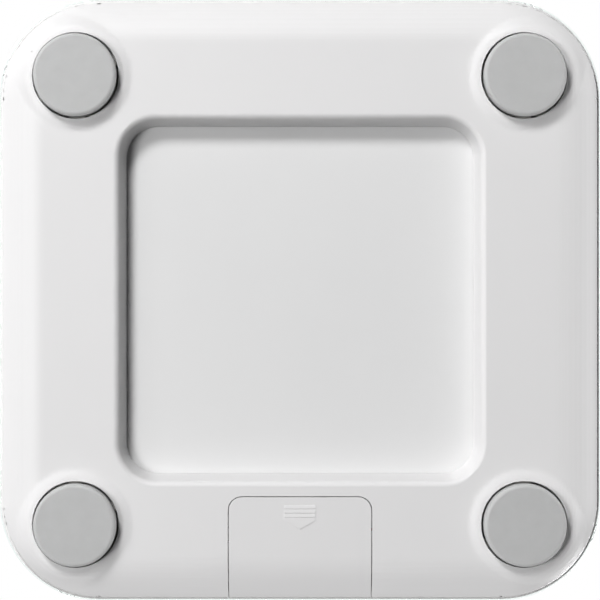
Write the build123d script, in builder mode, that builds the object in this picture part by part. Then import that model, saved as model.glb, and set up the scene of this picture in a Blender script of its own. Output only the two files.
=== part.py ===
from build123d import *

import os
from math import radians, tan

# Digital bathroom scale, in millimetres.
# +Z is up, the scale stands on its four feet at z = 0, and the origin is under its middle.
# The display is at the +Y end and reads from -Y. The battery door is at the -Y edge.

# ---- driving dimensions -----------------------------------------------------------------
plate_size = 300.0          # square glass platform
plate_top = 26.5            # overall height
glass_t = 4.8
enamel_t = 0.2              # white layer fired on the back of the glass
corner_centre = 100.0       # centre of every outer corner, from the middle in x and in y
rim_polish = 1.0            # rounding of the glass edges

ring_z = 8.0                # underside of the housing ring, above the floor
wall = 1.6                  # moulded wall thickness
skirt_start = 126.5         # half width where the underside starts to curl up
skirt_r = 26.0              # radius of that curl
skirt_rim_z = 19.0          # top edge of the curled skirt
neck_out = 145.0            # set-back collar between skirt and glass
neck_in = 142.0
neck_foot_z = 15.9
collar_z = 21.0             # top of the housing, where the tape lies
tape_out = 148.4            # the outer tape stands out past the skirt, as a seal under the glass

recess_half = 89.7          # half width of the square recess at the ring face
recess_corner = 19.0
recess_draft = 14.5         # degrees
recess_lip_r = 3.1
ledge_half = 91.5           # top flange of the recess wall
ledge_t = 1.4

foot_place = 110.5          # foot centres, from the middle in x and in y
pocket_r = 21.3
boss_z = 7.0                # the rim of each foot pocket stands 1 mm proud of the ring
boss_crest_r = 22.4
boss_base_r = 24.9
boss_base_z = 11.4
pocket_top = 12.6
pocket_edge_r = 0.35        # rounding of the pocket's mouth

foot_r = 20.25
foot_round = 1.9
foot_h = 9.5
foot_floor = 2.5
core_r = 17.4
core_top = 11.0
stem_r = 5.0
cell_plate_z = 13.4         # underside of the steel load cell
cell_plate_t = 2.0
cell_plate_size = 34.0
cell_plate_corner = 6.0

door_half = 35.15           # half width of the battery door
door_in = 97.1              # distance of its inner edge from the middle
door_corner = 6.5
door_gap = 0.4
door_reach = 160.0          # the door's outline is cut from the skirt, so this only has to clear it
bridge_z = 18.7             # underside of the collar above the door

aaa_r = 5.2
aaa_length = 44.5
aaa_pitch = 11.2
aaa_first_y = -104.5
aaa_z = 15.1

display_y = 117.0           # middle of the display
window_w = 64.0
window_h = 26.0

# ---- values worked out from them --------------------------------------------------------
plate_half = plate_size / 2
enamel_top = plate_top - glass_t
enamel_bottom = enamel_top - enamel_t
foot_places = [(sx * foot_place, sy * foot_place) for sy in (1, -1) for sx in (-1, 1)]
foot_tags = ["front_left", "front_right", "rear_left", "rear_right"]

os.makedirs("parts", exist_ok=True)


def save(piece, name):
    """Label a finished piece and write it to its own STEP file."""
    piece.label = name
    export_step(piece, f"parts/{name}.step")


def plan(half):
    """Square outline with corners struck from the common corner centres."""
    RectangleRounded(2 * half, 2 * half, half - corner_centre)


def plan_ring(outer, inner, z0, z1):
    """Flat square ring between two such outlines."""
    with BuildPart() as ring:
        with BuildSketch(Plane.XY.offset(z0)):
            plan(outer)
            RectangleRounded(2 * inner, 2 * inner, inner - corner_centre, mode=Mode.SUBTRACT)
        extrude(amount=z1 - z0)
    return ring.part


def pan(floor_z, edge_r):
    """Solid dish with a broad round under its edge, cut flat at the skirt's rim."""
    half = skirt_start + edge_r
    with BuildPart() as dish:
        with BuildSketch(Plane.XY.offset(floor_z)):
            plan(half)
        extrude(amount=edge_r + wall)
        fillet(dish.faces().sort_by(Axis.Z)[0].edges(), radius=edge_r)
        split(bisect_by=Plane.XY.offset(skirt_rim_z), keep=Keep.BOTTOM)
    return dish.part


def door_outline(gap, z1):
    """Upright prism over the battery door's outline, grown by a gap."""
    reach = door_reach - door_in + gap
    with BuildPart() as prism:
        with BuildSketch(Plane.XY):
            with Locations((0, -door_in + gap - reach / 2)):
                RectangleRounded(2 * (door_half + gap), reach, door_corner + gap)
        extrude(amount=z1)
    return prism.part


# ---- platform: toughened glass with a white fired back ------------------------------------
with BuildPart() as glass_platform:
    with BuildSketch(Plane.XY.offset(enamel_top)):
        plan(plate_half)
    extrude(amount=glass_t)
    fillet(glass_platform.faces().sort_by(Axis.Z)[0].edges(), radius=rim_polish)
    fillet(glass_platform.faces().sort_by(Axis.Z)[-1].edges(), radius=rim_polish)
save(glass_platform.part, "glass_platform")

with BuildPart() as glass_enamel:
    with BuildSketch(Plane.XY.offset(enamel_bottom)):
        plan(plate_half - rim_polish)
        with Locations((0, display_y)):
            RectangleRounded(window_w, window_h, 3, mode=Mode.SUBTRACT)
    extrude(amount=enamel_t)
save(glass_enamel.part, "glass_enamel")

with BuildPart() as display_window:
    with BuildSketch(Plane.XY.offset(enamel_bottom)):
        with Locations((0, display_y)):
            RectangleRounded(window_w, window_h, 3)
    extrude(amount=enamel_t)
save(display_window.part, "display_window")

# ---- housing: one moulded ring, a trough that opens towards the glass ----------------------
with BuildPart() as shell:
    add(pan(ring_z, skirt_r))
    add(pan(ring_z + wall, skirt_r - wall), mode=Mode.SUBTRACT)

# screw posts, trimmed to the middle of the wall so that none shows outside
carrier_post_z = 15.0
holder_post_z = 14.2
ear_reach = 24.5            # foot centre to the screw in each load-cell carrier's ear
holder_ear_x = 41.0
post_r = 3.2
holder_screw_places = [(sx * holder_ear_x, y) for sx in (-1, 1) for y in (-106.0, -130.0)]
carrier_screw_places = []
for fx, fy in foot_places:
    inward_x = -ear_reach if fx > 0 else ear_reach
    inward_y = -ear_reach if fy > 0 else ear_reach
    carrier_screw_places += [(fx + inward_x, fy), (fx, fy + inward_y)]

with BuildPart() as posts:
    with BuildSketch(Plane.XY.offset(ring_z)):
        with Locations(*carrier_screw_places):
            Circle(post_r)
    extrude(amount=carrier_post_z - ring_z)
    with BuildSketch(Plane.XY.offset(ring_z)):
        with Locations(*holder_screw_places):
            Circle(post_r)
    extrude(amount=holder_post_z - ring_z)
    add(pan(ring_z + wall / 2, skirt_r - wall / 2), mode=Mode.INTERSECT)

# one pocket rim: a low cone round the foot
with BuildPart() as pocket_rim:
    with BuildSketch(Plane.XZ):
        with BuildLine():
            Polyline(
                (0, boss_z),
                (boss_crest_r, boss_z),
                (boss_base_r, boss_base_z),
                (pocket_r + wall, pocket_top),
                (0, pocket_top),
                close=True,
            )
        make_face()
    revolve(axis=Axis.Z)

screw_hole_r = 0.9
with BuildPart() as lower_housing:
    add(shell.part)
    add(posts.part)
    add(door_outline(door_gap, plate_top), mode=Mode.SUBTRACT)
    add(plan_ring(neck_out, neck_in, neck_foot_z, collar_z))
    add(door_outline(door_gap, bridge_z), mode=Mode.SUBTRACT)
    # recess wall, its top ledge, and the recess itself
    with BuildSketch(Plane.XY.offset(ring_z)):
        RectangleRounded(2 * (recess_half + wall), 2 * (recess_half + wall), recess_corner + wall)
    extrude(amount=collar_z - ring_z, taper=recess_draft)
    with BuildSketch(Plane.XY.offset(collar_z - ledge_t)):
        RectangleRounded(2 * ledge_half, 2 * ledge_half, recess_corner)
    extrude(amount=ledge_t)
    with BuildSketch(Plane.XY.offset(ring_z)):
        RectangleRounded(2 * recess_half, 2 * recess_half, recess_corner)
    extrude(amount=plate_top - ring_z, taper=recess_draft, mode=Mode.SUBTRACT)
    ring_face = lower_housing.faces().filter_by(Axis.Z).sort_by(Axis.Z)[0]
    fillet(ring_face.inner_wires().edges(), radius=recess_lip_r)
    # foot pockets
    with Locations(*foot_places):
        add(pocket_rim.part)
    with BuildSketch(Plane.XY):
        with Locations(*foot_places):
            Circle(pocket_r)
    extrude(amount=pocket_top, mode=Mode.SUBTRACT)
    mouths = lower_housing.edges().filter_by(GeomType.CIRCLE).group_by(Axis.Z)[0]
    fillet(mouths.filter_by(lambda edge: edge.radius < boss_crest_r - 0.5), radius=pocket_edge_r)
    # blind screw holes in the posts
    with BuildSketch(Plane.XY.offset(ring_z + wall + 1)):
        with Locations(*carrier_screw_places, *holder_screw_places):
            Circle(screw_hole_r)
    extrude(amount=carrier_post_z - ring_z, mode=Mode.SUBTRACT)
save(lower_housing.part, "lower_housing")

# ---- adhesive foam tape between housing and glass ------------------------------------------
save(plan_ring(tape_out, neck_in + 0.2, collar_z, enamel_bottom), "outer_tape")

tape_in = recess_half - (collar_z - ring_z) * tan(radians(recess_draft)) + 0.6
with BuildPart() as inner_tape:
    with BuildSketch(Plane.XY.offset(collar_z)):
        RectangleRounded(2 * ledge_half - 0.6, 2 * ledge_half - 0.6, recess_corner - 0.3)
        RectangleRounded(2 * tape_in, 2 * tape_in, recess_corner - 3, mode=Mode.SUBTRACT)
    extrude(amount=enamel_bottom - collar_z)
save(inner_tape.part, "inner_tape")

# ---- battery door: a cut-out of the same shell, with side hooks and a raised grip mark -----
hook_out = 34.8
hook_tongue = 32.4
hook_web = 33.5
hook_top = 13.7
hook_under = 12.5
grip_w = 15.5
grip_bar = 1.6
grip_pitch = 2.1
grip_first_y = -101.9
grip_low = 0.12             # relief at the inner edge of a rib or the arrow
grip_h = 0.36               # and at its outer edge
arrow_top_y = -107.4
arrow_shoulder_y = -108.6
arrow_tip_y = -112.8
hook_foot_z = ring_z + 0.8  # buried in the door's wall
hook_start = 6.0            # inner edge of the door to the hooks
hook_run = 24.0

# arrow head that points the way the door slides, a ramp up to its tip
with BuildPart() as arrow:
    with BuildSketch(Plane.YZ):
        with BuildLine():
            Polyline(
                (arrow_top_y, ring_z - grip_low),
                (arrow_tip_y, ring_z - grip_h),
                (arrow_tip_y, ring_z + wall / 2),
                (arrow_top_y, ring_z + wall / 2),
                close=True,
            )
        make_face()
    extrude(amount=grip_w, both=True)
    with BuildSketch(Plane.XY.offset(ring_z - grip_h)):
        with BuildLine():
            Polyline(
                (-grip_w / 2, arrow_top_y),
                (-grip_w / 2, arrow_shoulder_y),
                (0, arrow_tip_y),
                (grip_w / 2, arrow_shoulder_y),
                (grip_w / 2, arrow_top_y),
                close=True,
            )
        make_face()
    extrude(amount=grip_h + wall, mode=Mode.INTERSECT)

with BuildPart() as battery_door:
    add(shell.part)
    add(door_outline(0, plate_top), mode=Mode.INTERSECT)
    # hooks: upright webs with inward tongues that run over the holder's rails
    with BuildSketch(Plane.XZ.offset(door_in + hook_start)):
        for side in (-1, 1):
            with BuildLine():
                Polyline(
                    (side * hook_out, hook_foot_z),
                    (side * hook_out, hook_top),
                    (side * hook_tongue, hook_top),
                    (side * hook_tongue, hook_under),
                    (side * hook_web, hook_under),
                    (side * hook_web, hook_foot_z),
                    close=True,
                )
            make_face()
    extrude(amount=hook_run)
    # three finger ribs, each a ramp that is steep on its outer side, then the arrow
    with BuildSketch(Plane.YZ):
        for i in range(3):
            rib_y = grip_first_y - i * grip_pitch
            with BuildLine():
                Polyline(
                    (rib_y + grip_bar / 2, ring_z - grip_low),
                    (rib_y - grip_bar / 2, ring_z - grip_h),
                    (rib_y - grip_bar / 2, ring_z + wall / 2),
                    (rib_y + grip_bar / 2, ring_z + wall / 2),
                    close=True,
                )
            make_face()
    extrude(amount=grip_w / 2, both=True)
    add(arrow.part)
save(battery_door.part, "battery_door")

# ---- battery holder: a moulded tray over the door opening ----------------------------------
bay_in = 30.5               # inner half width
bay_out = 32.0
rail_out = 33.2
bay_back = -97.6            # outer face of the wall next to the recess
bay_front = -135.2
bay_wall = 1.4
roof_z = 20.4
holder_top = 21.2
partition_x = 20.5          # cells on one side, unit switch on the other
switch_x = 26.0
switch_y = -110.0
plate_z = 13.0              # face plate round the unit button
plate_th = 1.2
button_r = 2.7
bay_foot_z = ring_z + wall + 1.8
partition_t = 1.0
rail_t = 0.8
ear_w = 13.0
ear_h = 7.0
ear_t = 1.8
ear_shift = 3.0             # from the screw towards the bay to the middle of an ear
rail_z = ring_z + wall + 2.2
screw_clear_r = 1.3

with BuildPart() as battery_holder:
    bay_mid = (bay_back + bay_front) / 2
    bay_len = bay_back - bay_front
    with BuildSketch(Plane.XY.offset(bay_foot_z)):
        with Locations((0, bay_mid)):
            Rectangle(2 * bay_out, bay_len)
            Rectangle(2 * bay_in, bay_len - 2 * bay_wall, mode=Mode.SUBTRACT)
    extrude(amount=holder_top - bay_foot_z)
    with BuildSketch(Plane.XY.offset(roof_z)):
        with Locations((0, bay_mid)):
            Rectangle(2 * bay_out, bay_len)
    extrude(amount=holder_top - roof_z)
    # partition and the face plate round the button
    with BuildSketch(Plane.XY.offset(bay_foot_z)):
        with Locations((partition_x + partition_t / 2, bay_mid)):
            Rectangle(partition_t, bay_len - 1)
    extrude(amount=roof_z - bay_foot_z)
    with BuildSketch(Plane.XY.offset(plate_z)):
        with Locations(((partition_x + bay_in) / 2, bay_mid)):
            Rectangle(bay_in - partition_x, bay_len - 1)
        with Locations((switch_x, switch_y)):
            Circle(button_r + 0.3, mode=Mode.SUBTRACT)
    extrude(amount=plate_th)
    # rails for the door's hooks
    with BuildSketch(Plane.XZ.offset(-bay_back + 1)):
        for side in (-1, 1):
            with Locations((side * (bay_out + rail_out) / 2, rail_z)):
                Rectangle(rail_out - bay_out, rail_t)
    extrude(amount=bay_len - 2)
    # ears over the housing's posts
    with BuildSketch(Plane.XY.offset(holder_post_z)):
        for ex, ey in holder_screw_places:
            side = 1 if ex > 0 else -1
            with Locations((ex - side * ear_shift, ey)):
                RectangleRounded(ear_w, ear_h, 2)
        with Locations(*holder_screw_places):
            Circle(screw_clear_r, mode=Mode.SUBTRACT)
        with Locations((0, bay_mid)):
            Rectangle(2 * bay_in, bay_len, mode=Mode.SUBTRACT)
    extrude(amount=ear_t)
save(battery_holder.part, "battery_holder")

# ---- three AAA cells, side by side and turned end for end ----------------------------------
contact_t = 0.4
bump_h = 1.0
bump_r = 2.2
bump_taper = 30
left_plate_x = -bay_in
right_plate_x = partition_x
nub_r = 1.9
nub_h = 1.0
cell_edge_r = 0.5
cell_ends = []
for i in range(3):
    y = aaa_first_y - i * aaa_pitch
    plus_right = i % 2 == 0
    if plus_right:
        plus_x = right_plate_x - contact_t - bump_h
        minus_x = plus_x - aaa_length
    else:
        plus_x = left_plate_x + contact_t + bump_h
        minus_x = plus_x + aaa_length
    cell_ends.append((y, minus_x, plus_x))
    out = 1 if plus_right else -1
    with BuildPart() as cell:
        with BuildSketch(Plane(origin=(minus_x, y, aaa_z), x_dir=(0, 1, 0), z_dir=(out, 0, 0))):
            Circle(aaa_r)
        extrude(amount=aaa_length - nub_h)
        fillet(cell.edges().filter_by(GeomType.CIRCLE), radius=cell_edge_r)
        shoulder_x = plus_x - out * nub_h
        with BuildSketch(Plane(origin=(shoulder_x, y, aaa_z), x_dir=(0, 1, 0), z_dir=(out, 0, 0))):
            Circle(nub_r)
        extrude(amount=nub_h)
    save(cell.part, f"battery_cell_{i + 1}")

# ---- contacts: nickel-plated plates with pressed bumps, and conical springs ----------------
contact_h = 8.4
contact_margin = 8.0        # what a contact adds to the distance between its cells
contacts = [
    ("contact_left_single", left_plate_x, 1, [0]),
    ("contact_left_double", left_plate_x, 1, [1, 2]),
    ("contact_right_double", right_plate_x, -1, [0, 1]),
    ("contact_right_single", right_plate_x, -1, [2]),
]
for name, x, facing, cells in contacts:
    ys = [cell_ends[i][0] for i in cells]
    width = max(ys) - min(ys) + contact_margin
    middle_y = sum(ys) / len(ys)
    with BuildPart() as contact:
        with BuildSketch(Plane(origin=(x, middle_y, aaa_z), x_dir=(0, 1, 0), z_dir=(facing, 0, 0))):
            RectangleRounded(width, contact_h, 1)
        extrude(amount=contact_t)
        for i in cells:
            y, minus_x, plus_x = cell_ends[i]
            if abs(plus_x - x) < abs(minus_x - x):
                bump_plane = Plane(
                    origin=(x + facing * contact_t, y, aaa_z), x_dir=(0, 1, 0), z_dir=(facing, 0, 0)
                )
                with BuildSketch(bump_plane):
                    Circle(bump_r)
                extrude(amount=bump_h, taper=bump_taper)
    save(contact.part, name)

# each spring is held as the closed sleeve that its coil fills
spring_length = right_plate_x - left_plate_x - 2 * contact_t - bump_h - aaa_length
spring_hole_r = 1.6
spring_base_r = 3.6
spring_tip_r = 2.6
spring_places = []
for y, minus_x, plus_x in cell_ends:
    if minus_x < plus_x:
        spring_places.append(Location((left_plate_x + contact_t, y, aaa_z), (0, 90, 0)))
    else:
        spring_places.append(Location((right_plate_x - contact_t, y, aaa_z), (0, -90, 0)))

with BuildPart() as spring:
    with BuildSketch(Plane.XZ):
        with BuildLine():
            Polyline(
                (spring_hole_r, 0),
                (spring_base_r, 0),
                (spring_tip_r, spring_length),
                (spring_hole_r, spring_length),
                close=True,
            )
        make_face()
    revolve(axis=Axis.Z)

with BuildPart() as contact_springs:
    with Locations(*spring_places):
        add(spring.part)
save(contact_springs.part, "contact_springs")

# ---- unit button in the bay: cap, plunger, tact switch and its small board -----------------
button_face = 11.9
flange_z = plate_z + plate_th + 0.1
flange_top = 15.2
plunger_top = 17.4
plunger_r = 1.6
switch_body_z = 16.2
switch_body_w = 6.0
switch_board_z = 19.2
switch_board_y = -113.0
with BuildPart() as unit_button:
    with BuildSketch(Plane.XY.offset(button_face)):
        with Locations((switch_x, switch_y)):
            Circle(button_r)
    extrude(amount=flange_top - button_face)
    fillet(unit_button.faces().sort_by(Axis.Z)[0].edges(), radius=0.6)
    with BuildSketch(Plane.XY.offset(flange_z)):
        with Locations((switch_x, switch_y)):
            Circle(button_r + 1.0)
    extrude(amount=flange_top - flange_z)
save(unit_button.part, "unit_button")

with BuildPart() as switch_plunger:
    with BuildSketch(Plane.XY.offset(flange_top)):
        with Locations((switch_x, switch_y)):
            Circle(plunger_r)
    extrude(amount=plunger_top - flange_top)
save(switch_plunger.part, "switch_plunger")

with BuildPart() as tact_switch:
    with BuildSketch(Plane.XY.offset(switch_body_z)):
        with Locations((switch_x, switch_y)):
            RectangleRounded(switch_body_w, switch_body_w, 0.4)
    extrude(amount=switch_board_z - switch_body_z)
    with BuildSketch(Plane.XY.offset(switch_body_z)):
        with Locations((switch_x, switch_y)):
            Circle(plunger_r + 0.15)
    extrude(amount=plunger_top + 0.9 - switch_body_z, mode=Mode.SUBTRACT)
save(tact_switch.part, "tact_switch")

with BuildPart() as switch_board:
    with BuildSketch(Plane.XY.offset(switch_board_z)):
        with Locations((switch_x, switch_board_y)):
            Rectangle(8.0, 22.0)
    extrude(amount=roof_z - switch_board_z)
save(switch_board.part, "switch_board")

# ---- feet: rubber pad over a plastic core whose stem presses on the load cell --------------
carrier_half = 19.5
carrier_corner = 9.0        # clears the curl of the skirt at the outer corner
carrier_bottom = 13.2
tongue_w = 16.0
tongue_l = 25.0
slot_w = 2.0
core_skin = 2.0             # left around and under the groove in a foot's core
carrier_window_w = 26.0
carrier_window_l = 28.0
carrier_ear_l = 12.0
carrier_ear_w = 8.0
carrier_ear_t = 2.0
carrier_ear_reach = 22.0    # foot centre to the middle of an ear
for tag, (fx, fy) in zip(foot_tags, foot_places):
    toward_x = -1 if fx > 0 else 1
    toward_y = -1 if fy > 0 else 1

    with BuildPart() as foot_pad:
        with BuildSketch(Plane.XY):
            with Locations((fx, fy)):
                Circle(foot_r)
        extrude(amount=foot_h)
        fillet(foot_pad.faces().sort_by(Axis.Z)[0].edges(), radius=foot_round)
        with BuildSketch(Plane.XY.offset(foot_floor)):
            with Locations((fx, fy)):
                Circle(core_r)
        extrude(amount=foot_h - foot_floor, mode=Mode.SUBTRACT)
    save(foot_pad.part, f"foot_pad_{tag}")

    with BuildPart() as foot_core:
        with BuildSketch(Plane.XY.offset(foot_floor)):
            with Locations((fx, fy)):
                Circle(core_r)
        extrude(amount=core_top - foot_floor)
        # weight-saving groove round the stem
        with BuildSketch(Plane.XY.offset(foot_floor + core_skin)):
            with Locations((fx, fy)):
                Circle(core_r - core_skin)
                Circle(stem_r + 3.0, mode=Mode.SUBTRACT)
        extrude(amount=core_top - foot_floor - core_skin, mode=Mode.SUBTRACT)
        with BuildSketch(Plane.XY.offset(core_top)):
            with Locations((fx, fy)):
                Circle(stem_r)
        extrude(amount=cell_plate_z - core_top)
    save(foot_core.part, f"foot_core_{tag}")

    # half-bridge load cell: a spring-steel plate with a centre tongue cut free on three sides
    with BuildPart() as load_cell:
        with BuildSketch(Plane.XY.offset(cell_plate_z)):
            with Locations((fx, fy)):
                RectangleRounded(cell_plate_size, cell_plate_size, cell_plate_corner)
                Rectangle(tongue_w + 2 * slot_w, tongue_l, mode=Mode.SUBTRACT)
            with Locations((fx, fy + toward_y * slot_w / 2)):
                Rectangle(tongue_w, tongue_l - slot_w)
        extrude(amount=cell_plate_t)
    save(load_cell.part, f"load_cell_{tag}")

    # carrier: frames the load cell, screwed to two posts and bonded to the glass
    with BuildPart() as carrier:
        with BuildSketch(Plane.XY.offset(carrier_bottom)):
            with Locations((fx, fy)):
                RectangleRounded(2 * carrier_half, 2 * carrier_half, carrier_corner)
        extrude(amount=enamel_bottom - carrier_bottom)
        with BuildSketch(Plane.XY.offset(carrier_bottom)):
            with Locations((fx, fy)):
                RectangleRounded(cell_plate_size + 0.4, cell_plate_size + 0.4, cell_plate_corner)
        extrude(amount=cell_plate_z + cell_plate_t - carrier_bottom, mode=Mode.SUBTRACT)
        with BuildSketch(Plane.XY.offset(carrier_bottom)):
            with Locations((fx, fy)):
                Rectangle(carrier_window_w, carrier_window_l)
        extrude(amount=enamel_bottom - carrier_bottom, mode=Mode.SUBTRACT)
        with BuildSketch(Plane.XY.offset(carrier_post_z)):
            with Locations((fx + toward_x * carrier_ear_reach, fy)):
                RectangleRounded(carrier_ear_l, carrier_ear_w, 2)
            with Locations((fx, fy + toward_y * carrier_ear_reach)):
                RectangleRounded(carrier_ear_w, carrier_ear_l, 2)
            with Locations((fx, fy)):
                Rectangle(2 * carrier_half - 2, 2 * carrier_half - 2, mode=Mode.SUBTRACT)
            with Locations((fx + toward_x * ear_reach, fy), (fx, fy + toward_y * ear_reach)):
                Circle(screw_clear_r, mode=Mode.SUBTRACT)
        extrude(amount=carrier_ear_t)
    save(carrier.part, f"load_cell_carrier_{tag}")

# potted strain gauges, one near the root of each tongue
gauge_reach = 8.0
with BuildPart() as strain_gauges:
    for fx, fy in foot_places:
        toward_y = -1 if fy > 0 else 1
        with BuildSketch(Plane.XY.offset(cell_plate_z + cell_plate_t)):
            with Locations((fx, fy + toward_y * gauge_reach)):
                RectangleRounded(11, 6, 1.5)
        extrude(amount=0.8)
save(strain_gauges.part, "strain_gauges")


def pan_head_screws(places, seat_z, shank, turned=0):
    """Cross-slot screws as one group: heads on the seat, shanks below it, or above when turned."""
    head_h = 1.5
    head_r = 2.3
    cross_w = 2.4
    cross_t = 0.5
    cross_depth = 0.8
    with BuildPart() as screw:
        with BuildSketch():
            Circle(head_r)
        extrude(amount=head_h)
        fillet(screw.faces().sort_by(Axis.Z)[-1].edges(), radius=0.6)
        with BuildSketch():
            Circle(screw_hole_r)
        extrude(amount=-shank)
        with BuildSketch(Plane.XY.offset(head_h)):
            Rectangle(cross_w, cross_t)
            Rectangle(cross_t, cross_w)
        extrude(amount=-cross_depth, mode=Mode.SUBTRACT)
    with BuildPart() as group:
        with Locations(*[Location((x, y, seat_z), (turned, 0, 0)) for x, y in places]):
            add(screw.part)
    return group.part


save(pan_head_screws(carrier_screw_places, carrier_post_z + carrier_ear_t, 5.5), "carrier_screws")
save(pan_head_screws(holder_screw_places, holder_post_z + ear_t, 4.8), "holder_screws")

# ---- display stack under the window: liquid-crystal cell, light plate, holder, board --------
lcd_w = 62.0
lcd_h = 30.0
lcd_t = 2.0
lcd_step = 5.0              # the upper glass is shorter than the lower one
lcd_z = enamel_bottom - 0.2 - lcd_t
light_w = 58.0
light_h = 23.0
light_t = 1.8
board_z = 13.0
board_t = 1.6
board_w = 84.0
board_h = 40.0
board_top = board_z + board_t
holder_w = 76.0
holder_h = 38.0
zebra_y = lcd_h / 2 - 1.5
zebra_t = 2.0
board_screw_places = [(sx * 34.6, display_y + sy * 16.0) for sx in (-1, 1) for sy in (-1, 1)]

with BuildPart() as lcd_cell:
    with BuildSketch(Plane.XY.offset(lcd_z)):
        with Locations((0, display_y)):
            Rectangle(lcd_w, lcd_h)
    extrude(amount=lcd_t / 2)
    with BuildSketch(Plane.XY.offset(lcd_z + lcd_t / 2)):
        with Locations((0, display_y)):
            Rectangle(lcd_w, lcd_h - lcd_step)
    extrude(amount=lcd_t / 2)
save(lcd_cell.part, "lcd_cell")

with BuildPart() as light_plate:
    with BuildSketch(Plane.XY.offset(lcd_z - light_t)):
        with Locations((0, display_y)):
            Rectangle(light_w, light_h)
    extrude(amount=light_t)
save(light_plate.part, "light_plate")

with BuildPart() as lcd_holder:
    with BuildSketch(Plane.XY.offset(board_top)):
        with Locations((0, display_y)):
            RectangleRounded(holder_w, holder_h, 2)
            Rectangle(light_w, light_h, mode=Mode.SUBTRACT)
        with Locations((0, display_y - zebra_y), (0, display_y + zebra_y)):
            Rectangle(light_w, zebra_t + 0.4, mode=Mode.SUBTRACT)
        with Locations(*board_screw_places):
            Circle(screw_hole_r, mode=Mode.SUBTRACT)
    extrude(amount=lcd_z - board_top)
    with BuildSketch(Plane.XY.offset(lcd_z)):
        with Locations((0, display_y)):
            RectangleRounded(holder_w, holder_h, 2)
            Rectangle(lcd_w + 0.4, lcd_h + 0.4, mode=Mode.SUBTRACT)
    extrude(amount=enamel_bottom - lcd_z)
save(lcd_holder.part, "lcd_holder")

with BuildPart() as zebra_strips:
    with BuildSketch(Plane.XY.offset(board_top)):
        with Locations((0, display_y - zebra_y), (0, display_y + zebra_y)):
            Rectangle(light_w - 2, zebra_t)
    extrude(amount=lcd_z - board_top)
save(zebra_strips.part, "zebra_strips")

with BuildPart() as main_board:
    with BuildSketch(Plane.XY.offset(board_z)):
        with Locations((0, display_y)):
            RectangleRounded(board_w, board_h, 1.5)
        with Locations(*board_screw_places):
            Circle(screw_clear_r, mode=Mode.SUBTRACT)
    extrude(amount=board_t)
save(main_board.part, "main_board")
save(pan_head_screws(board_screw_places, board_z, board_t + 4.0, turned=180), "board_screws")

# epoxy dome over the controller, on the underside of the board
chip_r = 6.0
chip_h = 1.4
with BuildPart() as controller_chip:
    with BuildSketch(Plane.XY.offset(board_z)):
        with Locations((6, display_y + 2)):
            Circle(chip_r)
    extrude(amount=-chip_h)
    fillet(controller_chip.faces().sort_by(Axis.Z)[0].edges(), radius=chip_h - 0.2)
save(controller_chip.part, "controller_chip")

# a field of small resistors, then a crystal can, two capacitors and a regulator
small_h = 0.6
large_h = 1.8
with BuildPart() as board_components:
    with BuildSketch(Plane.XY.offset(board_z)):
        with GridLocations(4.0, 5.0, 4, 3):
            with Locations((-18, display_y + 3)):
                Rectangle(2.0, 1.25)
    extrude(amount=-small_h)
    with BuildSketch(Plane.XY.offset(board_z)):
        with Locations((20, display_y + 9)):
            RectangleRounded(8.0, 3.6, 1.7)
        with Locations((20, display_y - 8), (28, display_y - 8)):
            Circle(2.0)
        with Locations((-6, display_y - 10)):
            Rectangle(6.0, 5.0)
    extrude(amount=-large_h)
save(board_components.part, "board_components")

# ---- leads: they lie on the trough's floor and pass each front foot on its inner side --------
sensor_lead_d = 1.8
power_lead_d = 1.3
floor_z = ring_z + wall


def lead(points, diameter):
    """Round lead through a list of points, with the largest arc that each corner has room for."""
    radii = []
    for before, here, after in zip(points, points[1:], points[2:]):
        first = Vector(here) - Vector(before)
        second = Vector(after) - Vector(here)
        turn = radians(first.get_angle(second))
        radii.append(0.45 * min(first.length, second.length) / tan(turn / 2))
    with BuildPart() as wire:
        with BuildLine() as path:
            FilletPolyline(*points, radius=radii)
        with BuildSketch(Plane(origin=path.line @ 0, z_dir=path.line % 0)):
            Circle(diameter / 2)
        sweep()
    return wire.part


def side_run(side, track, z, start):
    """Route from a start at the rear, along one side and round the front foot, to the board."""
    x = 104.0 - 3.0 * track
    board_y = 112 - 5.0 * track
    edge_z = board_z + board_t / 2
    return start + [
        (side * (x + 0.4), -52, z),
        (side * (x - 0.6), -10, z),
        (side * (x + 0.2), 32, z),
        (side * (x - 1.8), 70, z),
        (side * (91.4 - 1.8 * track), 91.4 - 1.8 * track, z),
        (side * (80 - track), 99.6 - 3.0 * track, z),
        (side * (66 - track), 106 - 3.8 * track, z + 0.6),
        (side * (board_w / 2 + 9), board_y, edge_z),
        (side * board_w / 2, board_y, edge_z),
    ]


sensor_exit_z = 14.6
for side, word in ((-1, "left"), (1, "right")):
    z = floor_z + sensor_lead_d / 2
    front = [
        (side * (foot_place - carrier_half), 120.5, sensor_exit_z),
        (side * 83, 120.5, sensor_exit_z),
        (side * 72, 121.6, sensor_exit_z - 1.6),
        (side * 59, 123.0, board_z - 0.1),
        (side * 50, 123.6, board_z + board_t / 2),
        (side * board_w / 2, 123.6, board_z + board_t / 2),
    ]
    save(lead(front, sensor_lead_d), f"sensor_lead_front_{word}")
    rear_start = [
        (side * 100.8, -foot_place + carrier_half, sensor_exit_z),
        (side * 100.8, -83, sensor_exit_z),
        (side * 102.6, -72, z + 1.2),
    ]
    save(lead(side_run(side, 0, z, rear_start), sensor_lead_d), f"sensor_lead_rear_{word}")


def bay_exit(side, y, track, z):
    """Start of a lead that leaves the battery holder through its side wall."""
    return [
        (side * bay_out, y, 18.0),
        (side * 41, y, 18.0),
        (side * 53, y + 3.6, 14.6),
        (side * 67, -101.5 + 3.0 * track, z + 0.8),
        (side * 80, -96.5 + 3.0 * track, z),
        (side * (91.0 - 1.8 * track), -91.0 + 1.8 * track, z),
        (side * (97.0 - 2.4 * track), -74, z),
    ]


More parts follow.
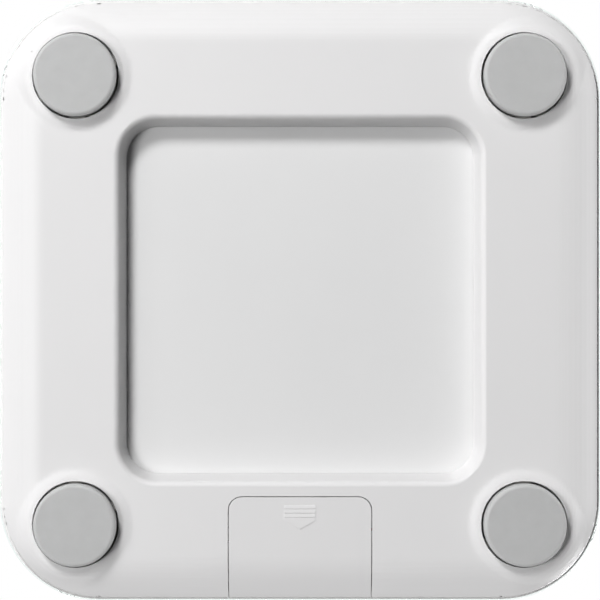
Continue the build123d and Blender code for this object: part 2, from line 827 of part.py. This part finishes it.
power_z = floor_z + power_lead_d / 2
for side, y, track, name in (
    (-1, -114.0, 1, "battery_lead_red"),
    (1, -120.0, 1, "battery_lead_black"),
    (1, -113.0, 2, "switch_lead"),
):
    route = side_run(side, track, power_z, bay_exit(side, y, track, power_z))
    save(lead(route, power_lead_d), name)
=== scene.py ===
import math

import bmesh
import bpy
from mathutils import Matrix, Vector


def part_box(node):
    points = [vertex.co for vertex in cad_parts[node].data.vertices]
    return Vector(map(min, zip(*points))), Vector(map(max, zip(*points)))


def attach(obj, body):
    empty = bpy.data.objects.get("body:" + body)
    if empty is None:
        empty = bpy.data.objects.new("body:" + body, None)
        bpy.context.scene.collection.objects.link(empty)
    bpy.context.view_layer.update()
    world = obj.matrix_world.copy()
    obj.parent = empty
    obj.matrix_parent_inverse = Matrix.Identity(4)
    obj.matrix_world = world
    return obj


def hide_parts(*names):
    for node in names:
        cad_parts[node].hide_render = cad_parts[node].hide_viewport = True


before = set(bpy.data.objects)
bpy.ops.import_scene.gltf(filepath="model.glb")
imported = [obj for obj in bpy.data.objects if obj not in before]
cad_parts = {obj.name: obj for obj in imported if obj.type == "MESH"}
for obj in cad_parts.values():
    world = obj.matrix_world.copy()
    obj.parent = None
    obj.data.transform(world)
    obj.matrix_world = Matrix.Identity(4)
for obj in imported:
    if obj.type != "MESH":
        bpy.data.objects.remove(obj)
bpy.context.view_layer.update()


# ---- glass platform ------------------------------------------------------------------------
# One square plate of toughened glass with rounded corners, 4.8 mm thick, its edge ground and
# polished. It carries the person and holds every other piece underneath it.
class Socket:
    """A shader value that can be used in ordinary sums."""

    def __init__(self, finish, socket):
        self.finish = finish
        self.socket = socket

    def joined(self, operation, first, second):
        return self.finish.node("ShaderNodeMath", {"operation": operation}, {0: first, 1: second})

    def __add__(self, other):
        return self.joined("ADD", self, other)

    def __radd__(self, other):
        return self.joined("ADD", other, self)

    def __sub__(self, other):
        return self.joined("SUBTRACT", self, other)

    def __rsub__(self, other):
        return self.joined("SUBTRACT", other, self)

    def __mul__(self, other):
        return self.joined("MULTIPLY", self, other)

    def __rmul__(self, other):
        return self.joined("MULTIPLY", other, self)

    def __gt__(self, other):
        return self.joined("GREATER_THAN", self, other)

    def __lt__(self, other):
        return self.joined("LESS_THAN", self, other)

    def __abs__(self):
        return self.joined("ABSOLUTE", self, 0)


class Finish:
    """A material, or the world's light, that is built one node at a time."""

    def __init__(self, name, data=None):
        self.material = data or bpy.data.materials.new(name)
        self.material.use_nodes = True
        self.tree = self.material.node_tree
        self.tree.nodes.clear()

    def node(self, kind, settings=None, sockets=None, out=0):
        made = self.tree.nodes.new(kind)
        for name, value in (settings or {}).items():
            if name == "stops":
                ramp = made.color_ramp.elements
                while len(ramp) < len(value):
                    ramp.new(0.5)
                for stop, (place, colour) in zip(ramp, value):
                    stop.position = place
                    stop.color = colour
            else:
                setattr(made, name, value)
        for name, value in (sockets or {}).items():
            if isinstance(value, Socket):
                self.tree.links.new(value.socket, made.inputs[name])
            else:
                made.inputs[name].default_value = value
        if made.outputs:
            return Socket(self, made.outputs[out])

    def place(self):
        return self.node("ShaderNodeTexCoord", out="Object")

    def stretched(self, along):
        return self.node("ShaderNodeMapping", {}, {"Vector": self.place(), "Scale": along})

    def noise(self, size, detail=2.0, where=None):
        sockets = {"Vector": where or self.place(), "Scale": 1 / size, "Detail": detail}
        return self.node("ShaderNodeTexNoise", {}, sockets, "Fac")

    def between(self, first, second, mask):
        sockets = {0: mask, 6: first, 7: second}
        return self.node("ShaderNodeMix", {"data_type": "RGBA"}, sockets, 2)

    def relief(self, height, depth):
        sockets = {"Strength": 1.0, "Distance": depth, "Height": height}
        return self.node("ShaderNodeBump", {}, sockets, "Normal")

    def coat(self, sockets):
        return self.node("ShaderNodeBsdfPrincipled", {}, sockets)

    def cover(self, shader):
        self.node("ShaderNodeOutputMaterial", {}, {"Surface": shader})
        return self

    def see_through(self, shader):
        """Glass that lets lamps and the room light what lies behind it."""
        shadow = self.node("ShaderNodeLightPath", out="Is Shadow Ray")
        bounce = self.node("ShaderNodeLightPath", out="Is Diffuse Ray")
        lighting = self.node("ShaderNodeClamp", {}, {"Value": shadow + bounce})
        clear = self.node("ShaderNodeBsdfTransparent", {}, {"Color": (0.92, 0.945, 0.94, 1)})
        return self.cover(self.node("ShaderNodeMixShader", {}, {0: lighting, 1: shader, 2: clear}))


def dress(finish, *names):
    for name in names:
        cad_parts[name].material_slots[0].material = finish.material


def tint(red, green, blue):
    return (red, green, blue, 1)


polish_wave = 0.05
platform_glass = Finish("toughened_glass")
glass_shader = platform_glass.coat({
    "Base Color": tint(0.93, 0.975, 0.96),
    "Roughness": 0.012 + platform_glass.noise(polish_wave) * 0.01,
    "IOR": 1.52,
    "Transmission Weight": 1.0,
})
platform_glass.see_through(glass_shader)
dress(platform_glass, "glass_platform")


# ---- white enamel and smoked window ---------------------------------------------------------
# The back of the glass is screen printed and fired: opaque white over the whole plate, 1 mm in
# from the edge, with a smoked see-through window left in it over the display.
def screen_print(name, light, dark, roughness):
    finish = Finish(name)
    cloud = finish.noise(0.04, 3.0)
    pinholes = finish.noise(0.0004)
    return finish, {
        "Base Color": finish.between(dark, light, cloud),
        "Roughness": roughness + cloud * 0.08,
        "Normal": finish.relief(pinholes, 0.000004),
    }


white_enamel, enamel_sockets = screen_print(
    "fired_white_enamel", tint(0.772, 0.772, 0.772), tint(0.752, 0.752, 0.754), 0.45)
white_enamel.cover(white_enamel.coat(enamel_sockets))
dress(white_enamel, "glass_enamel")

smoked_window, window_sockets = screen_print(
    "smoked_print", tint(0.03, 0.032, 0.036), tint(0.02, 0.021, 0.025), 0.12)
window_sockets["Alpha"] = 0.8
smoked_window.cover(smoked_window.coat(window_sockets))
dress(smoked_window, "display_window")


# ---- lower housing --------------------------------------------------------------------------
# A hollow square ring moulded in white plastic, with a fine spark-eroded skin. Its outer wall
# curves up to the glass, and it swells smoothly down to a round pocket for each foot.
foot_place = 0.1105
ring_height = 0.008
pocket_height = 0.007
crest_radius = 0.0225
swell_radius = 0.028
swell_bend = 0.0045
swell_blend = 0.0012
swell_blend_run = 0.003
crest_slack = 0.0002
flat_half = 0.1
skirt_start = 0.0265
skirt_radius = 0.026
cut_step = 0.0015
cut_count = 24
skin_slack = 0.0006


def moulded_white(name, tone, grain=0.00022):
    finish = Finish(name)
    cloud = finish.noise(0.03, 3.0)
    spark = finish.noise(grain, 3.0)
    darker = tuple(0.975 * level for level in tone)
    finish.cover(finish.coat({
        "Base Color": finish.between(tint(*darker), tint(*tone), cloud),
        "Roughness": 0.4 + spark * 0.16,
        "Specular IOR Level": 0.4,
        "Normal": finish.relief(spark, 0.000012),
    }))
    return finish


def merged_copy(node):
    shape = bmesh.new()
    shape.from_mesh(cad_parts[node].data)
    bmesh.ops.remove_doubles(shape, verts=shape.verts, dist=1e-6)
    return shape


def piece(name, shape, finish, body, crease=32):
    mesh = bpy.data.meshes.new(name)
    shape.to_mesh(mesh)
    shape.free()
    mesh.materials.append(finish.material)
    mesh.polygons.foreach_set("use_smooth", [True] * len(mesh.polygons))
    mesh.set_sharp_from_angle(angle=math.radians(crease))
    thing = bpy.data.objects.new(name, mesh)
    bpy.context.scene.collection.objects.link(thing)
    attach(thing, body)
    return thing


def skirt_height(x, y):
    """Height of the ring's outer skin, apart from the swellings at the feet."""
    out = math.hypot(max(abs(x) - flat_half, 0), max(abs(y) - flat_half, 0)) - skirt_start
    if out <= 0:
        return ring_height
    return ring_height + skirt_radius - math.sqrt(max(skirt_radius ** 2 - out ** 2, 0))


def on_skin(vertex):
    x, y, z = vertex.co
    return z < skirt_height(x, y) + skin_slack


def swell(shape, foot):
    """Cuts the skin round a foot into small faces, then moulds it into a smooth rise."""
    reach = cut_step * cut_count
    skin = []
    for face in shape.faces:
        if not all(on_skin(vertex) for vertex in face.verts):
            continue
        spans = [[vertex.co[axis] - foot[axis] for vertex in face.verts] for axis in (0, 1)]
        if all(min(span) < reach and max(span) > -reach for span in spans):
            skin.append(face)
    near = set(skin)
    for face in skin:
        near.update(face.edges)
        near.update(face.verts)
    near = list(near)
    for across in (Vector((1, 0, 0)), Vector((0, 1, 0))):
        for step in range(-cut_count, cut_count + 1):
            cut = bmesh.ops.bisect_plane(
                shape, geom=near, dist=1e-7, plane_co=foot + across * step * cut_step, plane_no=across)
            near = cut["geom"]
    for vertex in shape.verts:
        radius = (vertex.co.xy - foot.xy).length
        if radius < crest_radius - crest_slack or radius > reach or not on_skin(vertex):
            continue
        share = min(max((swell_radius - radius) / (swell_radius - crest_radius), 0), 1)
        share = share * share * (3 - 2 * share)
        rest = skirt_height(vertex.co.x, vertex.co.y) - (ring_height - pocket_height) * share
        out = max(radius - crest_radius, 0)
        rise = pocket_height + out * out / (2 * swell_bend)
        blend = swell_blend * min(out / swell_blend_run, 1) + 1e-9
        gap = min(max(0.5 + 0.5 * (rest - rise) / blend, 0), 1)
        vertex.co.z = rest * (1 - gap) + rise * gap - blend * gap * (1 - gap)


white_abs = moulded_white("spark_eroded_white", (0.8, 0.794, 0.797))
ring = merged_copy("lower_housing")
for side in (-1, 1):
    for end in (-1, 1):
        swell(ring, Vector((side * foot_place, end * foot_place, 0)))
bmesh.ops.remove_doubles(ring, verts=ring.verts, dist=1e-6)
housing = piece("lower_housing_shell", ring, white_abs, "scale")
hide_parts("lower_housing")
housing.modifiers.new("even_normals", "WEIGHTED_NORMAL").keep_sharp = True


# ---- foam tapes -----------------------------------------------------------------------------
# Two square loops of double-sided foam tape, die cut, which stick the ring's two rims to the
# glass and keep splashes out.
foam_tape = Finish("closed_cell_foam")
cells = foam_tape.noise(0.0006, 4.0)
foam_tape.cover(foam_tape.coat({
    "Base Color": foam_tape.between(tint(0.82, 0.82, 0.81), tint(0.9, 0.9, 0.89), cells),
    "Roughness": 0.85,
    "Normal": foam_tape.relief(cells, 0.00005),
}))
dress(foam_tape, "outer_tape", "inner_tape")


# ---- feet -----------------------------------------------------------------------------------
# Each foot is a soft grey rubber disc with a rounded rim, moulded over a stiff black core whose
# stem rests on the load cell above it.
places = [f"{front}_{side}" for front in ("front", "rear") for side in ("left", "right")]
foot_rubber = Finish("grey_foot_rubber")
bloom = foot_rubber.noise(0.006, 4.0)
grit = foot_rubber.noise(0.0003, 3.0)
foot_rubber.cover(foot_rubber.coat({
    "Base Color": foot_rubber.between(tint(0.495, 0.498, 0.498), tint(0.545, 0.548, 0.548), bloom),
    "Roughness": 0.62 + grit * 0.12,
    "Specular IOR Level": 0.35,
    "Normal": foot_rubber.relief(grit, 0.00002),
}))
dress(foot_rubber, *[f"foot_pad_{place}" for place in places])

black_plastic = Finish("black_moulded_plastic")
flow = black_plastic.noise(0.002, 3.0)
black_plastic.cover(black_plastic.coat({
    "Base Color": black_plastic.between(tint(0.025, 0.025, 0.028), tint(0.045, 0.045, 0.05), flow),
    "Roughness": 0.4 + flow * 0.1,
    "Normal": black_plastic.relief(flow, 0.00001),
}))
dress(black_plastic, *[f"foot_core_{place}" for place in places])


# ---- load cells and their carriers ------------------------------------------------------------
# Each load cell is a stamped spring-steel plate with resin-potted gauges on its tongue. A plain
# plastic carrier, screwed up inside the ring, holds it by its rim.
def metal(name, dark, light, roughness, grain_along, grain_size=0.001):
    finish = Finish(name)
    brushed = finish.noise(grain_size, 4.0, finish.stretched(grain_along))
    stain = finish.noise(0.006, 3.0)
    finish.cover(finish.coat({
        "Base Color": finish.between(dark, light, stain),
        "Metallic": 1.0,
        "Roughness": roughness + brushed * 0.15,
        "Normal": finish.relief(brushed, 0.000008),
    }))
    return finish


cell_steel = metal("stamped_spring_steel", tint(0.5, 0.5, 0.52), tint(0.62, 0.62, 0.64), 0.3, (0.2, 5, 1))
dress(cell_steel, *[f"load_cell_{place}" for place in places])
natural_abs = moulded_white("unpainted_carrier_plastic", (0.74, 0.73, 0.69), 0.0006)
dress(natural_abs, *[f"load_cell_carrier_{place}" for place in places])

gauge_resin = Finish("potting_resin")
sag = gauge_resin.noise(0.002, 2.0)
gauge_resin.cover(gauge_resin.coat({
    "Base Color": gauge_resin.between(tint(0.8, 0.8, 0.76), tint(0.88, 0.88, 0.85), sag),
    "Roughness": 0.35,
    "Subsurface Weight": 0.1,
    "Normal": gauge_resin.relief(sag, 0.0001),
}))
dress(gauge_resin, "strain_gauges")

screw_steel = metal("zinc_plated_screw", tint(0.55, 0.56, 0.58), tint(0.7, 0.71, 0.73), 0.28,
                    (1, 1, 6), 0.0005)
dress(screw_steel, "carrier_screws", "holder_screws", "board_screws")


# ---- battery door ---------------------------------------------------------------------------
# A thin moulded door that slides outwards in hooks under the ring. It curves up with the outer
# wall, and an arrow and a row of finger ribs stand proud of its face.
door_white = moulded_white("spark_eroded_door_white", (0.785, 0.779, 0.782))
dress(door_white, "battery_door")


# ---- battery bay ----------------------------------------------------------------------------
# A white holder screwed up under the glass takes three AAA cells side by side, wired in series
# by nickel-plated plates. Each cell's flat end presses a conical spring wound from steel wire.
holder_white = moulded_white("holder_plastic", (0.82, 0.815, 0.81), 0.0005)
dress(holder_white, "battery_holder")

cap_length = 0.0016
band_length = 0.011
for number, positive in ((1, 1), (2, -1), (3, 1)):
    node = f"battery_cell_{number}"
    low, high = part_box(node)
    middle = (low.x + high.x) / 2
    half = (high.x - low.x) / 2
    jacket = Finish(f"printed_cell_jacket_{number}")
    along = jacket.node("ShaderNodeSeparateXYZ", {}, {0: jacket.place()}) * positive - middle * positive
    cap = abs(along) > half - cap_length
    band = along > half - band_length
    scuff = jacket.noise(0.003, 4.0)
    body_colour = jacket.between(tint(0.05, 0.09, 0.16), tint(0.07, 0.12, 0.2), scuff)
    banded = jacket.between(body_colour, tint(0.75, 0.42, 0.12), band)
    jacket.cover(jacket.coat({
        "Base Color": jacket.between(banded, tint(0.72, 0.72, 0.73), cap),
        "Metallic": cap * 0.7 + 0.3,
        "Roughness": 0.28 + scuff * 0.1,
        "Coat Weight": 0.3 - cap * 0.3,
        "Normal": jacket.relief(scuff, 0.00001),
    }))
    dress(jacket, node)

nickel_plate = metal("nickel_plate", tint(0.68, 0.65, 0.6), tint(0.78, 0.75, 0.7), 0.22, (1, 1, 5), 0.0008)
dress(nickel_plate, "contact_left_single", "contact_left_double", "contact_right_double",
      "contact_right_single")

spring_steel = metal("nickel_plated_spring_wire", tint(0.62, 0.62, 0.62), tint(0.76, 0.76, 0.75), 0.2,
                     (1, 1, 1), 0.0006)
wire_radius = 0.0003
coil_turns = 3.5
steps_per_turn = 28
wide_radius = 0.0032
narrow_radius = 0.0021
springs_low, springs_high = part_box("contact_springs")
coils = bmesh.new()
for row, facing in ((0, -1), (1, 1), (2, -1)):
    cell_low, cell_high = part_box(f"battery_cell_{row + 1}")
    axle_y = (cell_low.y + cell_high.y) / 2
    axle_z = (cell_low.z + cell_high.z) / 2
    start_x = springs_low.x if facing < 0 else springs_high.x
    end_x = cell_low.x if facing < 0 else cell_high.x
    first_x = start_x + (wire_radius if facing < 0 else -wire_radius)
    last_x = end_x - (wire_radius if facing < 0 else -wire_radius)
    steps = int(coil_turns * steps_per_turn)
    ring_of_wire = bmesh.ops.create_circle(
        coils, segments=8, radius=wire_radius, cap_ends=False,
        matrix=Matrix.Translation((first_x, axle_y + wide_radius, axle_z)))
    edges = list({edge for vertex in ring_of_wire["verts"] for edge in vertex.link_edges})
    before = set(coils.verts)
    bmesh.ops.spin(coils, geom=edges, cent=(first_x, axle_y, axle_z), axis=(1, 0, 0),
                   dvec=((last_x - first_x) / steps, 0, 0), angle=coil_turns * 2 * math.pi,
                   steps=steps, use_merge=False, use_duplicate=False)
    turned = [vertex for vertex in coils.verts if vertex not in before] + ring_of_wire["verts"]
    for vertex in turned:
        share = min(max((vertex.co.x - first_x) / (last_x - first_x), 0), 1)
        shrink = 1 + (narrow_radius / wide_radius - 1) * share
        spoke = vertex.co - Vector((vertex.co.x, axle_y, axle_z))
        out = spoke.length - wide_radius
        vertex.co = Vector((vertex.co.x, axle_y, axle_z)) + spoke.normalized() * (
            wide_radius * shrink + out)
bmesh.ops.holes_fill(coils, edges=[edge for edge in coils.edges if edge.is_boundary], sides=8)
bmesh.ops.recalc_face_normals(coils, faces=coils.faces)
coil_springs = piece("coil_springs", coils, spring_steel, "scale")
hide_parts("contact_springs")

grey_button = Finish("grey_button_plastic")
rub = grey_button.noise(0.001, 3.0)
grey_button.cover(grey_button.coat({
    "Base Color": grey_button.between(tint(0.36, 0.37, 0.38), tint(0.42, 0.43, 0.44), rub),
    "Roughness": 0.42,
    "Normal": grey_button.relief(rub, 0.00001),
}))
dress(grey_button, "unit_button")
dress(black_plastic, "switch_plunger", "tact_switch")


# ---- boards and display ---------------------------------------------------------------------
# Green fibreglass boards carry the controller, under its drop of black epoxy, and the switch. A
# plastic frame on the main board holds the light plate and the liquid-crystal cell to the glass.
board_green = Finish("solder_masked_board")
lanes = board_green.node(
    "ShaderNodeTexBrick", {"offset": 0.5}, {
        "Vector": board_green.place(), "Scale": 1.0, "Brick Width": 0.011, "Row Height": 0.0013,
        "Mortar Size": 0.0003, "Mortar Smooth": 0.4, "Color1": tint(0.03, 0.16, 0.07),
        "Color2": tint(0.035, 0.19, 0.08), "Mortar": tint(0.06, 0.3, 0.12)}, "Color")
track = board_green.node(
    "ShaderNodeTexBrick", {"offset": 0.5}, {
        "Vector": board_green.place(), "Scale": 1.0, "Brick Width": 0.011, "Row Height": 0.0013,
        "Mortar Size": 0.0003, "Mortar Smooth": 0.4}, "Fac")
board_green.cover(board_green.coat({
    "Base Color": lanes,
    "Roughness": 0.3 + board_green.noise(0.001) * 0.1,
    "Normal": board_green.relief(track, 0.00003),
}))
dress(board_green, "main_board", "switch_board")

black_epoxy = Finish("black_epoxy_drop")
ripple = black_epoxy.noise(0.003, 2.0)
black_epoxy.cover(black_epoxy.coat({
    "Base Color": black_epoxy.between(tint(0.012, 0.012, 0.013), tint(0.025, 0.025, 0.027), ripple),
    "Roughness": 0.22 + ripple * 0.12,
    "Normal": black_epoxy.relief(ripple, 0.00006),
}))
dress(black_epoxy, "controller_chip")

component_tan = Finish("ceramic_parts")
speck = component_tan.noise(0.0004, 2.0)
component_tan.cover(component_tan.coat({
    "Base Color": component_tan.between(tint(0.36, 0.26, 0.15), tint(0.55, 0.43, 0.28), speck),
    "Roughness": 0.4,
    "Normal": component_tan.relief(speck, 0.00002),
}))
dress(component_tan, "board_components")

dress(natural_abs, "lcd_holder")

light_guide = Finish("frosted_light_plate")
frost = light_guide.noise(0.0005, 2.0)
light_guide.cover(light_guide.coat({
    "Base Color": light_guide.between(tint(0.8, 0.84, 0.9), tint(0.9, 0.93, 0.97), frost),
    "Roughness": 0.5,
    "Emission Color": light_guide.between(tint(0.5, 0.6, 0.8), tint(0.6, 0.7, 0.9), frost),
    "Emission Strength": 0.2,
    "Normal": light_guide.relief(frost, 0.00003),
}))
dress(light_guide, "light_plate")

lcd_glass = Finish("polarised_lcd_glass")
film = lcd_glass.noise(0.01, 2.0)
lcd_glass.cover(lcd_glass.coat({
    "Base Color": lcd_glass.between(tint(0.035, 0.04, 0.06), tint(0.045, 0.052, 0.075), film),
    "Roughness": 0.15 + film * 0.05,
    "Coat Weight": 0.3,
}))
dress(lcd_glass, "lcd_cell")

zebra_rubber = Finish("layered_contact_rubber")
layers = zebra_rubber.node(
    "ShaderNodeTexWave", {"bands_direction": "X"}, {"Vector": zebra_rubber.place(), "Scale": 800.0}, "Fac")
zebra_rubber.cover(zebra_rubber.coat({
    "Base Color": zebra_rubber.between(tint(0.03, 0.03, 0.03), tint(0.5, 0.5, 0.52), layers),
    "Roughness": 0.6,
}))
dress(zebra_rubber, "zebra_strips")

# the display shows a plain zero reading: seven-segment bars lying on the liquid-crystal cell
digit_lit = Finish("lit_segments")
glow = digit_lit.noise(0.004, 1.0)
digit_lit.cover(digit_lit.coat({
    "Base Color": digit_lit.between(tint(0.8, 0.85, 0.9), tint(0.9, 0.95, 1.0), glow),
    "Roughness": 0.4,
    "Emission Color": digit_lit.between(tint(0.75, 0.88, 1.0), tint(0.85, 0.95, 1.0), glow),
    "Emission Strength": 9.0,
}))
lcd_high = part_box("lcd_cell")[1]
window_low, window_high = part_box("display_window")
digit_w = 0.0085
digit_h = 0.0165
bar = 0.0019
bar_gap = 0.00035
bar_z = lcd_high.z + 0.00003
bar_t = 0.00008
bar_point = 0.46
first_zero = 0.002
second_zero = 0.0155


def lit_bar(shape, x, y, length, upright):
    """One segment: a thin bar with pointed ends."""
    size = (bar, length, bar_t) if upright else (length, bar, bar_t)
    made = bmesh.ops.create_cube(
        shape, size=1, matrix=Matrix.Translation((x, y, bar_z + bar_t / 2)) @ Matrix.Diagonal((*size, 1)))
    edges = [edge for edge in {e for v in made["verts"] for e in v.link_edges}
             if abs(edge.verts[0].co.z - edge.verts[1].co.z) > bar_t / 2]
    bmesh.ops.bevel(shape, geom=edges, offset=bar * bar_point, segments=1, profile=0.5, affect="EDGES",
                    material=-1)


def zero(shape, x, y):
    for side in (-1, 1):
        lit_bar(shape, x, y + side * (digit_h - bar) / 2, digit_w - 2 * bar_gap, False)
        for end in (-1, 1):
            lit_bar(shape, x + side * (digit_w - bar) / 2, y + end * (digit_h - bar) / 4,
                    (digit_h - bar) / 2 - 2 * bar_gap, True)


display_x = (window_low.x + window_high.x) / 2
display_y = (window_low.y + window_high.y) / 2
reading = bmesh.new()
point_x = display_x + (first_zero + second_zero) / 2
point_y = display_y - (digit_h - bar) / 2
point_radius = bar * 0.55
zero(reading, display_x + first_zero, display_y)
zero(reading, display_x + second_zero, display_y)
bmesh.ops.create_cone(
    reading, cap_ends=True, segments=20, radius1=point_radius, radius2=point_radius, depth=bar_t,
    matrix=Matrix.Translation((point_x, point_y, bar_z + bar_t / 2)))
piece("display_digits", reading, digit_lit, "scale")


# ---- leads ----------------------------------------------------------------------------------
# Thin vinyl-covered leads run inside the ring, from the load cells, the batteries and the unit
# switch to the main board.
def vinyl(name, colour):
    finish = Finish(name)
    drawn = finish.noise(0.0015, 3.0)
    darker = tuple(0.85 * level for level in colour)
    finish.cover(finish.coat({
        "Base Color": finish.between(tint(*darker), tint(*colour), drawn),
        "Roughness": 0.38 + drawn * 0.1,
        "Normal": finish.relief(drawn, 0.00001),
    }))
    return finish


dress(vinyl("grey_vinyl", (0.5, 0.5, 0.51)), "switch_lead", *[f"sensor_lead_{place}" for place in places])
dress(vinyl("red_vinyl", (0.55, 0.04, 0.03)), "battery_lead_red")
dress(vinyl("black_vinyl", (0.03, 0.03, 0.032)), "battery_lead_black")


# ---- studio ---------------------------------------------------------------------------------
# The scale hangs in white light and is seen from straight below. The floor shows only from
# above, and lamps and the view from below pass through it.
floor_finish = Finish("pale_floor")
seen = floor_finish.node("ShaderNodeLightPath", out="Is Camera Ray")
back = floor_finish.node("ShaderNodeNewGeometry", out="Backfacing")
haze = floor_finish.noise(0.4, 2.0)
floor_colour = floor_finish.between(tint(0.78, 0.78, 0.77), tint(0.82, 0.82, 0.81), haze)
floor_face = floor_finish.node("ShaderNodeBsdfDiffuse", {}, {"Color": floor_colour})
floor_gone = floor_finish.node("ShaderNodeBsdfTransparent")
floor_finish.cover(floor_finish.node(
    "ShaderNodeMixShader", {}, {0: seen * (1 - back), 1: floor_gone, 2: floor_face}))
floor_shape = bmesh.new()
bmesh.ops.create_grid(floor_shape, x_segments=1, y_segments=1, size=3)
floor_mesh = bpy.data.meshes.new("floor")
floor_shape.to_mesh(floor_mesh)
floor_shape.free()
floor_mesh.materials.append(floor_finish.material)
floor = bpy.data.objects.new("floor", floor_mesh)
bpy.context.scene.collection.objects.link(floor)

room = Finish("studio", bpy.data.worlds.new("studio"))
bpy.context.scene.world = room.material
upward = room.node("ShaderNodeSeparateXYZ", {}, {0: room.node("ShaderNodeTexCoord", out="Generated")}, "Z")
glow_below = 0.03
glow_above = 0.75
glow_rise = 12.0
rise = room.node("ShaderNodeClamp", {}, {"Value": upward * glow_rise + 0.5})
straight = room.node("ShaderNodeLightPath", out="Is Camera Ray")
through = room.node("ShaderNodeLightPath", out="Transmission Depth")
shown = room.node("ShaderNodeClamp", {}, {"Value": straight + through})
ambient = glow_below + rise * (glow_above - glow_below)
backdrop = room.node("ShaderNodeBackground", {}, {
    "Color": (1, 1, 1, 1), "Strength": ambient * (1 - shown) + shown})
room.node("ShaderNodeOutputWorld", {}, {"Surface": backdrop})


def lamp(name, toward, distance, power, width, height=0):
    """A soft lamp that faces the middle of the scale: a disc, or a strip where it has a height."""
    light = bpy.data.lights.new(name, "AREA")
    light.shape = "RECTANGLE" if height else "DISK"
    light.size = width
    if height:
        light.size_y = height
    light.energy = power
    holder = bpy.data.objects.new(name, light)
    way = Vector(toward).normalized()
    holder.location = way * distance
    holder.rotation_euler = way.to_track_quat("Z", "Y").to_euler()
    holder.visible_camera = False
    bpy.context.scene.collection.objects.link(holder)


lamp("key_upper_left", (0.5, 0.94, -1), 2.4, 38.5, 0.6)
lamp("key_left", (0.62, -0.05, -1), 4.0, 66, 1.2)
lamp("wide_left", (1.1, 0.5, -1), 3.0, 13, 1.8)
lamp("strip_right", (-1, 0, 0.01), 1.5, 11, 1.2, 0.08)
lamp("strip_bottom", (0, -1, 0.01), 1.5, 6.8, 1.2, 0.08)
lamp("key_above", (-0.6, -0.5, 1.1), 2.0, 14, 0.9)
lamp("fill_above", (0.9, 0.4, 0.7), 2.2, 5, 1.4)

camera_distance = 1.092
camera_data = bpy.data.cameras.new("camera")
camera_data.lens = 134
camera_data.sensor_width = 36
camera = bpy.data.objects.new("camera", camera_data)
camera.location = (0, 0, -camera_distance)
camera.rotation_euler = (0, math.pi, 0)
bpy.context.scene.collection.objects.link(camera)
bpy.context.scene.camera = camera
bpy.context.scene.view_settings.view_transform = "Standard"
